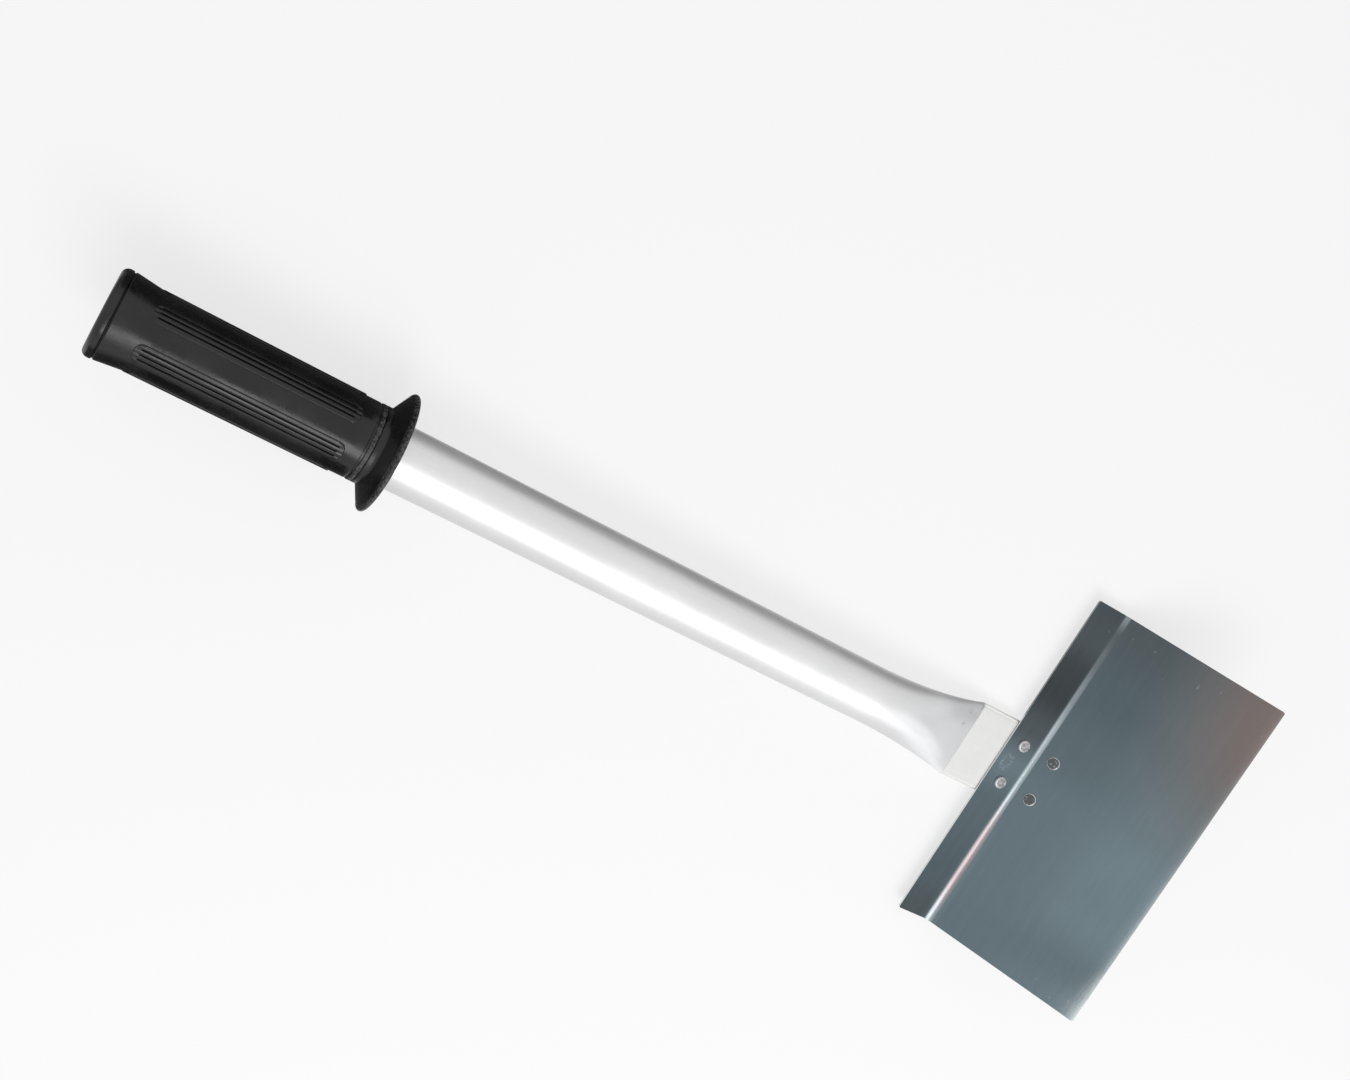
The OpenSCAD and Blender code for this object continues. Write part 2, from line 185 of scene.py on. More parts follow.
class ShovelGrip(bpy.types.PropertyGroup):
    """Sizes and colours of the rubber grip"""

    length: length("Length", 108.5, "From the butt face to the guard's front face")
    wall: length("Wall", 2.45, "Rubber over the tube")
    fit: length("Fit", 0.1, "Gap between the tube and the grip's bore")
    end_wall: length("End wall", 4.0, "Rubber behind the tube's end")
    butt_lip: length("Butt lip", 1.5, "Reach of the butt ring above the body")
    butt_ring: length("Butt ring", 3.5, "Length of the butt ring")
    butt_round: length("Butt rounding", 2.5, "Rounding of the butt ring's outer edge")
    butt_cone: length("Butt cone", 16.5, "Distance to where the butt's cone meets the body")
    butt_groove: length("Butt groove", 1.0, "Width of the groove in front of the butt ring")
    butt_groove_depth: length("Butt groove depth", 0.7, "Depth of that groove")
    panel_height: length("Panel height", 0.45, "Height of the raised panels")
    panel_angle: angle("Panel angle", 30.0, "Angle that one raised panel spans")
    panel_start: length("Panel start", 14.3, "From the butt face to the raised panels")
    panel_stop: length("Panel stop", 17.3, "From the guard's front face to the raised panels")
    panel_corner: length("Panel corner", 3.4, "Corner radius of a raised panel")
    rib_groove: length("Rib groove", 0.7, "Width of the grooves between ribs")
    rib_stop: length("Rib groove stop", 2.6, "Plain stretch between a groove and its panel's end")
    turn: angle("Turn", 11.3, "Turn of the panels about the tube")
    guard: length("Guard", 47.8, "Diameter of the guard's rim")
    guard_edge: length("Guard edge", 1.8, "Thickness of the guard's rounded rim")
    guard_angle: angle("Guard angle", 61.4, "Angle between the guard's back and the tube")
    guard_fillet: length("Guard fillet", 1.6, "Fillet between the guard's back and the neck")
    neck_groove: length("Neck groove", 0.8, "Width of the groove behind the neck ring")
    neck_groove_depth: length("Neck groove depth", 0.4, "Depth of that groove")
    neck_groove_back: length("Neck groove place", 10.6, "From the guard's front face to that groove")
    neck_ring: length("Neck ring", 0.15, "Height of the neck ring above the body")
    neck_bead: length("Neck bead", 1.7, "Width of the scuffed bead at the back of the neck ring")
    fine_groove: length("Fine groove", 0.4, "Depth of the fine grooves in the neck ring and inside the rim")
    rubber: colour("Rubber", (0.0045, 0.0045, 0.005), "Colour of the clean rubber")
    # Also the colour of the painted highlight on the ribs' crests
    dust_and_sheen: colour("Dust and painted sheen", (0.105, 0.105, 0.11), "Colour of the dust on the rubber")
    scuff: colour("Scuffs", (0.15, 0.15, 0.15), "Colour of the scuffed rings")


class ShovelStudio(bpy.types.PropertyGroup):
    """Floor and light"""

    floor: colour("Floor", (0.95, 0.95, 0.95), "Colour of the floor")
    white: share("White", 0.72, "Share of the floor that looks plain white")
    daylight: share("Daylight", 0.5, "Light that comes evenly from all round")
    softbox: bpy.props.FloatProperty(
        name="Softbox", description="Power of the large lamp over the right side", default=10.8, unit="POWER"
    )


# ---- Surfaces ----


def laid(points):
    """Points of the tool's own axes put where the tool lies: the butt face's
    middle plus x along the tube, y to the left and z up from the tube."""
    p = np.asarray(points, float)
    return BUTT + p[..., :1] * ALONG + p[..., 1:2] * LEFT + p[..., 2:3] * UP


def arc(centre, radius, start, stop, steps):
    """Points on a circle round centre from angle start to stop, in radians,
    where angle 0 points along the first axis."""
    a = np.linspace(start, stop, steps + 1)
    return np.stack([centre[0] + radius * np.cos(a), centre[1] + radius * np.sin(a)], 1)


def soft_line(corners, cuts):
    """A line through corners whose every inner corner is a true arc that starts
    and ends a cut's length away from it. An arc with equal legs is a conic whose
    middle weight is the cosine of half the turn."""
    corners = np.asarray(corners, float)
    parts = [corners[:1]]
    t = np.linspace(0, 1, 6)[:, None]
    for before, here, after, cut in zip(corners, corners[1:], corners[2:], cuts):
        back, on = before - here, after - here
        back, on = back / np.linalg.norm(back), on / np.linalg.norm(on)
        w = math.sqrt(max(0.0, (1 - float(back @ on)) / 2))
        weights = (1 - t) ** 2 + 2 * w * t * (1 - t) + t**2
        curve = (1 - t) ** 2 * (here + cut * back) + 2 * w * t * (1 - t) * here + t**2 * (here + cut * on)
        parts.append(curve / weights)
    parts.append(corners[-1:])
    return np.concatenate(parts)


def lattice_faces(rows, columns, wrap_rows=False):
    """Four corners for each cell of a grid whose columns close on themselves."""
    i = np.arange(rows if wrap_rows else rows - 1)[:, None]
    j = np.arange(columns)[None, :]
    k, n = (j + 1) % columns, (i + 1) % rows
    return np.stack([i * columns + j, i * columns + k, n * columns + k, n * columns + j], -1).reshape(-1, 4)


def pole_faces(row_start, columns, pole, last):
    """A fan of triangles from one pole to the row of columns next to it."""
    j = np.arange(columns)
    k = (j + 1) % columns
    ring = [row_start + j, row_start + k] if last else [row_start + k, row_start + j]
    return np.stack([*ring, np.full(columns, pole)], 1)


def turned_body(grid, values):
    """Points, faces and values of a grid of rows round an axis, whose first and
    last rows are poles: the rows between them come first, then the two poles."""
    inner, columns = len(grid) - 2, grid.shape[1]
    points, values = (np.concatenate([v[1:-1].reshape(-1, 3), v[[0, -1], 0]]) for v in (grid, values))
    faces = [lattice_faces(inner, columns), pole_faces(0, columns, inner * columns, False),
             pole_faces((inner - 1) * columns, columns, inner * columns + 1, True)]
    return laid(points), faces, values


def signed_volume(points, faces):
    """Volume that the faces enclose: a sixth of the sum of each corner fan's
    triple product. It is negative when they point inwards."""
    total = 0.0
    for f in faces:
        a = points[f[:, 0]]
        for q in range(1, f.shape[1] - 1):
            total += float(np.einsum("ij,ij->", a, np.cross(points[f[:, q]], points[f[:, q + 1]])))
    return total / 6


def build_piece(name, node, surface, title, crease, material):
    """A piece in place of a CAD node, riding with the tool: surface gives its
    points, its face arrays and a vector for each point, which the mesh keeps
    under title. Its faces point outwards, and edges sharper than crease degrees
    stay sharp."""
    points, faces, values = surface
    if signed_volume(points, faces) < 0:
        faces = [f[:, ::-1] for f in faces]
    mesh = bpy.data.meshes.new(name)
    mesh.from_pydata(points.tolist(), [], [q for f in faces for q in f.tolist()])
    mesh.polygons.foreach_set("use_smooth", np.ones(len(mesh.polygons), bool))
    layer = mesh.attributes.new(title, "FLOAT_VECTOR", "POINT")
    layer.data.foreach_set("vector", np.asarray(values, np.float32).ravel())
    mesh.update()
    if mesh.validate():
        raise RuntimeError(f"the mesh of {name} is not sound")
    mesh.set_sharp_from_angle(angle=math.radians(crease))
    mesh.materials.append(material)
    piece = bpy.data.objects.new(name, mesh)
    bpy.context.scene.collection.objects.link(piece)
    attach(piece, "root")
    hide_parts(node)


# ---- Places along the tool, worked out from the sizes ----


def laid_out(context):
    """The shovel's settings, and the places worked out from them."""
    shovel = context.scene.shovel
    return shovel, Layout(shovel)


class Layout:
    """Places along the tube's axis and heights above it, all in metres."""

    def __init__(self, shovel):
        tube, blade, grip = shovel.tube, shovel.blade, shovel.grip
        self.tube_r = tube.diameter / 2
        self.mid_r = self.tube_r - tube.wall / 2
        self.tab_end_r = (tube.slit + tube.wall) / 2
        self.tab_t = 2 * tube.wall + tube.slit
        self.tab_w = math.pi * (self.mid_r - self.tab_end_r) + self.tab_t
        self.tab_top = self.tab_t / 2 - tube.drop
        self.tab_bottom = self.tab_top - self.tab_t
        self.flare_x = grip.length + tube.bare
        self.fold_x = self.flare_x + tube.flare
        self.heel_x = self.fold_x + tube.tab_show
        self.bend_x = self.heel_x + blade.heel
        self.blade_top = self.tab_top + blade.seat_gap + blade.thickness
        self.bend_z = self.blade_top + blade.bend_radius
        self.bend = blade.bend
        self.body_r = self.tube_r + grip.fit + grip.wall

    def bent(self, x, z):
        """Points drawn straight past the bend line, turned up about the bend's
        centre by the bend angle."""
        dx, dz = x - self.bend_x, z - self.bend_z
        c, s = math.cos(self.bend), math.sin(self.bend)
        return self.bend_x + dx * c - dz * s, self.bend_z + dx * s + dz * c


# ---- Blade ----


def blade_surface(blade, place):
    """One sheet carried along its side view. A station on the face is a point and
    the direction into the sheet; the loop round it runs over the face, down one
    edge, back along the underside and up the other edge. Each point keeps its
    place along and across the sheet and its share of the depth."""
    t, r, burr, corner = blade.thickness, blade.bend_radius, blade.burr, blade.corner
    # Stations: distances along the heel, angles round the bend and distances along
    # the panel, close together at the rounded corners
    heel_s = np.concatenate([[0, burr], corner * (1 - np.cos(np.linspace(0.3, math.pi / 2, 6))),
                             np.linspace(2 * corner, blade.heel, 8)])
    heel_s = np.unique(np.round(heel_s, 7))
    bend_a = np.linspace(0, blade.bend, 29)[1:]
    panel_p = blade.panel - heel_s[heel_s < 2.1 * corner][::-1]
    panel_p = np.concatenate([np.linspace(0, panel_p[0], 24)[1:-1], panel_p])
    end_x, end_z = place.bend_x + r * math.sin(blade.bend), place.bend_z - r * math.cos(blade.bend)
    x = np.concatenate([place.heel_x + heel_s, place.bend_x + r * np.sin(bend_a),
                        end_x + panel_p * math.cos(blade.bend)])[:, None]
    z = np.concatenate([np.full(len(heel_s), place.blade_top), place.bend_z - r * np.cos(bend_a),
                        end_z + panel_p * math.sin(blade.bend)])[:, None]
    tilt = np.concatenate([0 * heel_s, bend_a, np.full(len(panel_p), blade.bend)])[:, None]
    s = np.concatenate([heel_s, blade.heel + r * bend_a, blade.heel + r * blade.bend + panel_p])
    # Half the sheet's width at each station, drawn in round its corners
    inset = np.clip(corner - np.minimum(s, s[-1] - s), 0, None)
    reach = blade.width / 2 - (corner - np.sqrt(corner**2 - inset**2))
    many, rows = 33, len(s)
    face = np.stack([np.linspace(-1, 1, many) * (reach - burr)[:, None], np.zeros((rows, many))], -1)
    edge = np.stack([reach, reach], 1)
    edge_d = np.broadcast_to([burr, t - burr], (rows, 2))
    loop = np.concatenate([face, np.stack([edge, edge_d], -1), face[:, ::-1] + [0, t],
                           np.stack([-edge, edge_d[:, ::-1]], -1)], 1)
    loop[[0, -1], :, 1] = np.clip(loop[[0, -1], :, 1], burr, t - burr)
    y, d = loop[..., 0], loop[..., 1]
    points = np.stack([x + d * np.sin(tilt), y, z - d * np.cos(tilt)], -1)
    columns = y.shape[1]
    faces = [lattice_faces(rows, columns)]
    # Both ends are closed by strips from the face to the underside
    top = np.arange(many - 1)
    under = 2 * many + 1 - top
    strips = np.stack([top, top + 1, under - 1, under], 1)
    sides = [[many - 1, many, many + 1, many + 2], [2 * many + 2, 2 * many + 3, 0, 2 * many + 1]]
    cap = np.concatenate([strips, sides])
    faces += [cap[:, ::-1], cap + (rows - 1) * columns]
    sheet = np.stack([np.broadcast_to(s[:, None], y.shape), y, d / t], -1)
    return laid(points.reshape(-1, 3)), faces, sheet.reshape(-1, 3)


# ---- Handle tube ----


def flattened_ring(b, mid_r, end_r, sag, off):
    """Left and up places on a ring that is pressed flat: the middle line keeps
    its length, its two sides are half circles of end_r, and flats join them. The
    top hangs sag below that plain shape. b is the place round the ring in radians
    and off the step outward."""
    quarter = np.abs(np.mod(b + math.pi / 2, math.pi) - math.pi / 2)
    run = mid_r * quarter
    half_flat = math.pi * (mid_r - end_r) / 2
    turn = np.minimum(math.pi / 2, run / end_r)
    slide = np.maximum(0, run - end_r * math.pi / 2)
    left = (half_flat + (end_r + off) * np.cos(turn) - slide) * np.where(np.cos(b) < 0, -1, 1)
    up = (end_r + off) * np.sin(turn)
    return left, np.where(np.sin(b) < 0, -up, up - sag * np.sin(turn) ** 2)


def tube_skin(tube, place, off):
    """One skin of the tube, step off from the wall's middle line: rings along the
    round tube, down the flare, along the tab and round its bend, and on to the
    tab's rounded end, with shallow dents beside the fold."""
    # Places round a ring crowd at its sides, where the pressed tube turns tightly
    a = np.linspace(0, 2 * math.pi, 144, endpoint=False)
    b = (a - math.radians(24) * np.sin(2 * a))[None, :]
    straight = np.linspace(tube.start, place.flare_x, 9)
    u = np.linspace(0, 1, 61)[1:]
    flat = np.linspace(place.fold_x, place.bend_x, 9)[1:]
    past = np.linspace(0, 1, 13)[1:]
    tilt = np.concatenate([np.linspace(0, place.bend, 17)[1:], np.full(len(past), place.bend)])
    mid_z = (place.tab_top + place.tab_bottom) / 2
    bend_r = place.bend_z - mid_z
    x = np.concatenate([straight, place.flare_x + tube.flare * u, flat, place.bend_x + bend_r * np.sin(tilt)])
    z = np.concatenate([0 * straight, -tube.drop * u**4, np.full(len(flat), mid_z),
                        place.bend_z - bend_r * np.cos(tilt)])
    turned = np.concatenate([np.zeros(len(x) - len(tilt)), tilt])
    pressed = np.concatenate([0 * straight, u**2, np.ones(len(flat) + len(tilt))])
    end_r = (place.mid_r + (place.tab_end_r - place.mid_r) * pressed)[:, None]
    # The sag goes as u**2 * (1 - u), which is 4/27 at most
    sag = (tube.sag * 27 / 4 * pressed * (1 - np.sqrt(pressed)))[:, None]
    left, up = flattened_ring(b, place.mid_r, end_r, sag, off)
    x, z, turned = x[:, None], z[:, None], turned[:, None]
    for before, aside, depth in DENTS:
        near = ((x - place.fold_x) / MM + before) ** 2 / DENT_LONG + (left / MM - aside) ** 2 / DENT_WIDE
        up = up - np.where(up > 0, depth * MM * np.exp(-near), 0)
    # Past the bend the tab runs on, less far at its rounded corners
    over = np.clip(np.abs(left) - (place.tab_w / 2 - tube.tab_corner), 0, tube.tab_corner)
    reach = tube.tab_past - (tube.tab_corner - np.sqrt(tube.tab_corner**2 - over**2))
    ahead = np.zeros_like(left)
    ahead[-len(past):] = past[:, None] * reach[-len(past):]
    x = x + ahead * np.cos(turned) - up * np.sin(turned)
    z = z + ahead * np.sin(turned) + up * np.cos(turned)
    return np.stack([x, left, z], -1)


def tube_surface(tube, place):
    """The outer skin and back along the inner skin, which close on each other at
    both ends. Each point keeps its place by the tool's axes."""
    inner = tube_skin(tube, place, -tube.wall / 2)
    points = np.concatenate([tube_skin(tube, place, tube.wall / 2), inner[::-1]])
    faces = lattice_faces(*points.shape[:2], wrap_rows=True)
    points = points.reshape(-1, 3)
    return laid(points), [faces], points


# ---- Grip ----


def grip_profile(grip, place):
    """Half outline of the grip, as distance along the tube and radius: from the
    middle of the butt face over the ring, the cone and the body to the guard's
    rim, down its front face and back along the bore to its bottom."""
    body_r, bore_r, bore_mouth = place.body_r, place.tube_r + grip.fit, 0.3 * MM
    butt_r, neck_r, cone_step = body_r + grip.butt_lip, body_r + grip.neck_ring, 0.1 * MM
    guard_r, bead, cone = grip.guard / 2, grip.guard_edge / 2, grip.guard_angle
    butt = soft_line([[0, 0], [0, butt_r * 0.5], [0, butt_r - grip.butt_round]], [0.2 * MM])
    corner = arc((grip.butt_round, butt_r - grip.butt_round), grip.butt_round, math.pi, math.pi / 2, 12)
    # The fillet between the neck and the guard's cone, tangent to both
    rim = np.array([grip.length - bead, guard_r - bead])
    outward = np.array([-math.sin(cone), math.cos(cone)])
    down_cone = -np.array([math.cos(cone), math.sin(cone)])
    reach = float(rim @ outward) + bead
    fillet_r = neck_r + grip.guard_fillet
    fillet = np.array([(fillet_r * outward[1] - reach - grip.guard_fillet) / -outward[0], fillet_r])
    # From the butt ring to that fillet, with grooves before the cone and at the
    # neck, and each inner corner's cut
    ring, groove = grip.butt_ring, grip.length - grip.neck_groove_back
    groove_r, fine, bead_end = body_r - grip.neck_groove_depth, grip.fine_groove, groove + grip.neck_bead
    body_cuts = np.array([0.25, 0.12, 0.35, 3.0, 0.3, 0.08, 0.08, 0.35, 0.12, 0.05, 0.12]) * MM
    body = soft_line(
        [[grip.butt_round, butt_r], [ring, butt_r],
         [ring + grip.butt_groove / 2, butt_r - grip.butt_groove_depth],
         [ring + grip.butt_groove, butt_r - cone_step], [grip.butt_cone, body_r],
         [groove - grip.neck_groove, body_r], [groove - grip.neck_groove, groove_r], [groove, groove_r],
         [groove, neck_r], [bead_end, neck_r], [bead_end + fine / 2, neck_r - fine],
         [bead_end + fine, neck_r], [fillet[0], neck_r]], body_cuts)
    # The groove inside the rim, cut into the cone that runs from the fillet to it:
    # places down the cone from the groove's upper end, in mm, and depths
    groove_end = rim + bead * outward + 0.8 * bead * down_cone
    steps = ((1.0, 0), (0.45, 0), (0.3, fine), (0, fine), (-0.15, 0), (-0.6, 0))
    inside = soft_line([groove_end + step * MM * down_cone - deep * outward for step, deep in steps],
                       np.array([0.1, 0.06, 0.06, 0.1]) * MM)
    front_and_bore = [
        [grip.length, guard_r - 3 * bead], [grip.length, (guard_r + bore_r) / 2],
        [grip.length, bore_r + bore_mouth], [grip.length - bore_mouth, bore_r],
        [grip.end_wall, bore_r], [grip.end_wall, 0]]
    outline = np.concatenate([
        butt[:-1], corner, body[1:-1], arc(fillet, grip.guard_fillet, -math.pi / 2, cone - math.pi / 2, 8),
        inside, arc(rim, bead, cone + math.pi / 2, 0, 16), front_and_bore])
    return outline, len(front_and_bore)


def grip_surface(grip, place):
    """The half outline turned about the tube, with its radius raised over six
    rounded panels and lowered in the grooves between their ribs. A panel's height
    follows the distance inside its rounded outline, and a groove is a round
    channel about a line with round ends. Each point keeps its place along the
    grip and its share of a rib's crest and of a groove."""
    panels, ribs = 6, 4
    edge_round, groove_depth, rib_crown = 0.45 * MM, 0.75 * grip.rib_groove, 0.18 * MM
    body_r, corner = place.body_r, grip.panel_corner
    start, stop = grip.panel_start, grip.length - grip.panel_stop
    outline, plain_rows = grip_profile(grip, place)
    # Places along the grip, crowded at the panels' ends: the outline's own places
    # are kept from a margin outside them
    margin, spacing = 0.2 * MM, 0.22 * MM
    near_end = np.concatenate([np.array([-0.15, 0, 0.05, 0.15, 0.3]) * MM,
                               np.arange(0.45 * MM, corner + 1.2 * MM, spacing)])
    between = np.linspace(start + corner + 2 * MM, stop - corner - 2 * MM, 9)
    stations = np.concatenate([start + near_end, between, (stop - near_end)[::-1]])
    first = np.argmax(outline[:, 0] > start - margin)
    last = first + np.argmax(outline[first:, 0] > stop + margin)
    under = outline[first - 1: last + 1]
    stations = np.unique(np.concatenate([stations, under[1:-1, 0]]))
    within = np.stack([stations, np.interp(stations, under[:, 0], under[:, 1])], 1)
    outline = np.concatenate([outline[:first], within, outline[last:]])
    x, base = outline[:, :1], outline[:, 1:]
    # Places round one sixth of the grip, in degrees at first, crowded at the
    # panel's edges and grooves
    half, half_sixth = math.degrees(grip.panel_angle) / 2, 180 / panels
    rib, half_groove = 2 * half / ribs, math.degrees(grip.rib_groove / 2 / body_r)
    at_edge = np.array([-0.3, 0, 0.12, 0.4, 0.9, 1.6])
    at_groove = half_groove * np.array([-1.0, -0.93, -0.7, -0.36, 0, 0.36, 0.7, 0.93, 1.0])
    around = [np.linspace(-half_sixth, -half - 1, 6), at_edge - half]
    around += [half - at_edge, np.linspace(half + 1, half_sixth, 6)[:-1]]
    around += [k * rib + at_groove for k in (-1, 0, 1)]
    around += [np.array([-1.5, -0.5, 0.5, 1.5]) * rib + d for d in (-0.9, 0, 0.9)]
    around = np.radians(np.unique(np.round(np.concatenate(around), 4)))[None, :]
    # The raised panels, on all but the guard's front face and the bore
    top = body_r + grip.panel_height
    along, half_long = np.abs(x - (start + stop) / 2), (stop - start) / 2
    long = along - (half_long - corner)
    wide = np.abs(top * np.sin(around)) - (top * math.sin(grip.panel_angle / 2) - corner)
    outside = np.hypot(np.maximum(long, 0), np.maximum(wide, 0)) + np.minimum(np.maximum(long, wide), 0)
    on_body = (np.arange(len(outline)) < len(outline) - plain_rows)[:, None]
    rise = np.sqrt(1 - (1 - np.clip((corner - outside) / edge_round, 0, 1)) ** 2) * on_body
    radius = base + rise * np.maximum(top - base, 0)
    # The grooves, and the ribs' rounded crests between them
    arc_place, pitch = around * body_r, body_r * grip.panel_angle / ribs
    past_groove = np.maximum(along - (half_long - grip.rib_stop), 0)
    nearest = np.clip(np.round(arc_place / pitch), -1, 1) * pitch
    gap = np.hypot(past_groove, arc_place - nearest) / (grip.rib_groove / 2)
    hollow = np.sqrt(1 - np.clip(gap, 0, 1) ** 2) * on_body
    crown = np.abs(np.mod(arc_place / pitch, 1) - 0.5) * 2
    radius = radius - (hollow * groove_depth + rib_crown * crown**2) * (rise > 0.9)
    turns = (np.arange(panels)[:, None] + 0.5) * 2 * math.pi / panels - grip.turn
    theta = (turns + around).ravel()
    radius, hollow, rise = (np.tile(v, (1, panels)) for v in (radius, hollow, rise))
    x = np.broadcast_to(x, radius.shape)
    points = np.stack([x, -radius * np.sin(theta), radius * np.cos(theta)], -1)
    return turned_body(points, np.stack([x, rise * (1 - hollow), hollow], -1))


# ---- Rivets ----


def rivet_surface(rivets, place, pair, side):
    """A turned rivet: the tail's low spherical dome, the shank, and a flat head
    with a quarter-round edge, about an axis square to the layers that it holds.
    Each point keeps its radius and its height."""
    grip, high, soft = place.blade_top - place.tab_bottom, rivets.tail_height, rivets.head_round
    tail_r, shank_r, head_r = rivets.tail / 2, rivets.shank / 2, rivets.head / 2
    ball = (tail_r**2 + high**2) / (2 * high)
    a = np.linspace(0, math.asin(min(1.0, tail_r / ball)), 13)
    tail = np.stack([ball * np.sin(a), ball * (1 - np.cos(a)) - high], 1)
    edge = arc((head_r - soft, grip + rivets.head_height - soft), soft, 0, math.pi / 2, 10)
    flat = np.stack([np.linspace(head_r - soft, 0, 9)[1:], np.full(8, grip + rivets.head_height)], 1)
    outline = np.concatenate([tail, [[shank_r, 0], [shank_r, grip], [head_r, grip]], edge, flat])
    theta = np.linspace(0, 2 * math.pi, 64, endpoint=False)[None, :]
    r, h = outline[:, :1], outline[:, 1:]
    x = r * np.cos(theta)
    y = r * np.sin(theta) + side * rivets.spacing / 2
    z = place.tab_bottom + np.broadcast_to(h, x.shape)
    turned = np.stack([np.broadcast_to(r, x.shape), z, 0 * z], -1)
    if pair == "heel":
        x = x + place.bend_x - rivets.heel_back
    else:
        x, z = place.bent(x + place.bend_x + rivets.face_out, z)
    return turned_body(np.stack([x, y, z], -1), turned)


# ---- Finishes ----


class Nodes:
    """Adds and joins nodes in one material or node group."""

    def __init__(self, tree):
        self.tree = tree

    def add(self, kind, inputs=None, **settings):
        node = self.tree.nodes.new(kind)
        for key, value in settings.items():
            setattr(node, key, value)
        for key, value in (inputs or {}).items():
            self.put(node.inputs[key], value)
        return node

    def found(self, kind):
        """The node of a kind that the tree came with."""
        return next(node for node in self.tree.nodes if node.type == kind)

    def put(self, socket, value):
        """Joins a socket to another node's output, or gives it a plain value."""
        if isinstance(value, bpy.types.NodeSocket):
            self.tree.links.new(value, socket)
        else:
            socket.default_value = value

    def maths(self, operation, *values):
        return self.add("ShaderNodeMath", dict(enumerate(values)), operation=operation).outputs[0]

    def plus(self, *values):
        return reduce(lambda a, b: self.maths("ADD", a, b), values)

    def times(self, *values):
        return reduce(lambda a, b: self.maths("MULTIPLY", a, b), values)

    def off(self, value, middle):
        """How far a value is from a middle one, on either side."""
        return self.maths("ABSOLUTE", self.maths("SUBTRACT", value, middle))

    def past(self, value, middle, reach):
        """How far a value is past a middle one, as a share of reach."""
        return self.maths("DIVIDE", self.maths("SUBTRACT", value, middle), reach)

    def oval(self, *axes):
        """Distance from the middle of an oval, 1 at its rim. Each axis gives a
        value, the oval's middle and its reach."""
        parts = [self.past(*axis) for axis in axes]
        return self.maths("SQRT", self.plus(*(self.times(d, d) for d in parts)))

    def remap(self, value, low, high, to_low=0.0, to_high=1.0, soft=True):
        """A value between low and high taken to its place between two others."""
        sockets = dict(zip(("Value", "From Min", "From Max", "To Min", "To Max"),
                           (value, low, high, to_low, to_high)))
        kind = "SMOOTHSTEP" if soft else "LINEAR"
        return self.add("ShaderNodeMapRange", sockets, interpolation_type=kind).outputs["Result"]

    def between(self, value, outer_low, low, high, outer_high):
        """1 from low to high, eased down to 0 at the outer places."""
        return self.times(self.remap(value, outer_low, low), self.remap(value, outer_high, high))

    def mix(self, factor, a, b):
        return self.add("ShaderNodeMix", {0: factor, 6: a, 7: b}, data_type="RGBA").outputs[2]

    def ramp(self, factor, *stops):
        """A colour for each place from 0 to 1, eased from stop to stop. A stop
        gives its place, a colour and the gain on that colour."""
        node = self.add("ShaderNodeValToRGB", {"Fac": factor})
        line = node.color_ramp
        line.interpolation = "EASE"
        for element, (place, value, gain) in zip(line.elements, (stops[0], stops[-1])):
            element.position, element.color = place, rgb(value, gain)
        for place, value, gain in stops[1:-1]:
            line.elements.new(place).color = rgb(value, gain)
        return node.outputs["Color"]

    def noise(self, vector, scale, detail=2.0, roughness=0.5):
        inputs = {"Vector": vector, "Scale": scale, "Detail": detail, "Roughness": roughness}
        return self.add("ShaderNodeTexNoise", inputs).outputs["Fac"]

    def mapped(self, vector, **values):
        inputs = {key.capitalize(): v for key, v in values.items()}
        return self.add("ShaderNodeMapping", {"Vector": vector, **inputs}).outputs[0]

    def attribute(self, title):
        return self.add("ShaderNodeAttribute", attribute_name=title).outputs["Vector"]

    def split(self, vector):
        return self.add("ShaderNodeSeparateXYZ", {0: vector}).outputs

    def own_place(self):
        return self.add("ShaderNodeTexCoord").outputs["Object"]

    def group(self, tree, **inputs):
        """A node group placed with its own values, and its only output."""
        named = {key.capitalize().replace("_", " "): value for key, value in inputs.items()}
        return self.add("ShaderNodeGroup", named, node_tree=tree).outputs[0]


def shader_group(name, inputs, output, fill):
    """A named node group with float or vector inputs and one float output, built
    once. fill gets the tree's Nodes and its input sockets and returns the output."""
    if name in bpy.data.node_groups:
        return bpy.data.node_groups[name]
    tree = bpy.data.node_groups.new(name, "ShaderNodeTree")
    for title, kind, default in inputs:
        socket = tree.interface.new_socket(title, in_out="INPUT", socket_type=f"NodeSocket{kind}")
        if default is not None:
            socket.default_value = default
    tree.interface.new_socket(output, in_out="OUTPUT", socket_type="NodeSocketFloat")
    n = Nodes(tree)
    given = n.add("NodeGroupInput").outputs
    n.add("NodeGroupOutput", {output: fill(n, given)})
    return tree


def brushed_group():
    """Fine lines left by brushing or drawing: two noises stretched along one
    axis, one fine and one broad."""

    def fill(n, given):
        where = n.mapped(given["Vector"], scale=given["Stretch"])
        fine = n.noise(where, given["Lines per metre"], 3.0, 0.6)
        broad = n.noise(where, n.times(given["Lines per metre"], 0.13), 2.0, 0.5)
        return n.remap(n.plus(n.times(fine, 0.6), n.times(broad, 0.4)), 0.3, 0.7, soft=False)

    inputs = [("Vector", "Vector", None), ("Stretch", "Vector", (0.02, 1.0, 1.0)),
              ("Lines per metre", "Float", 3000.0)]
    return shader_group("Brushed lines", inputs, "Lines", fill)


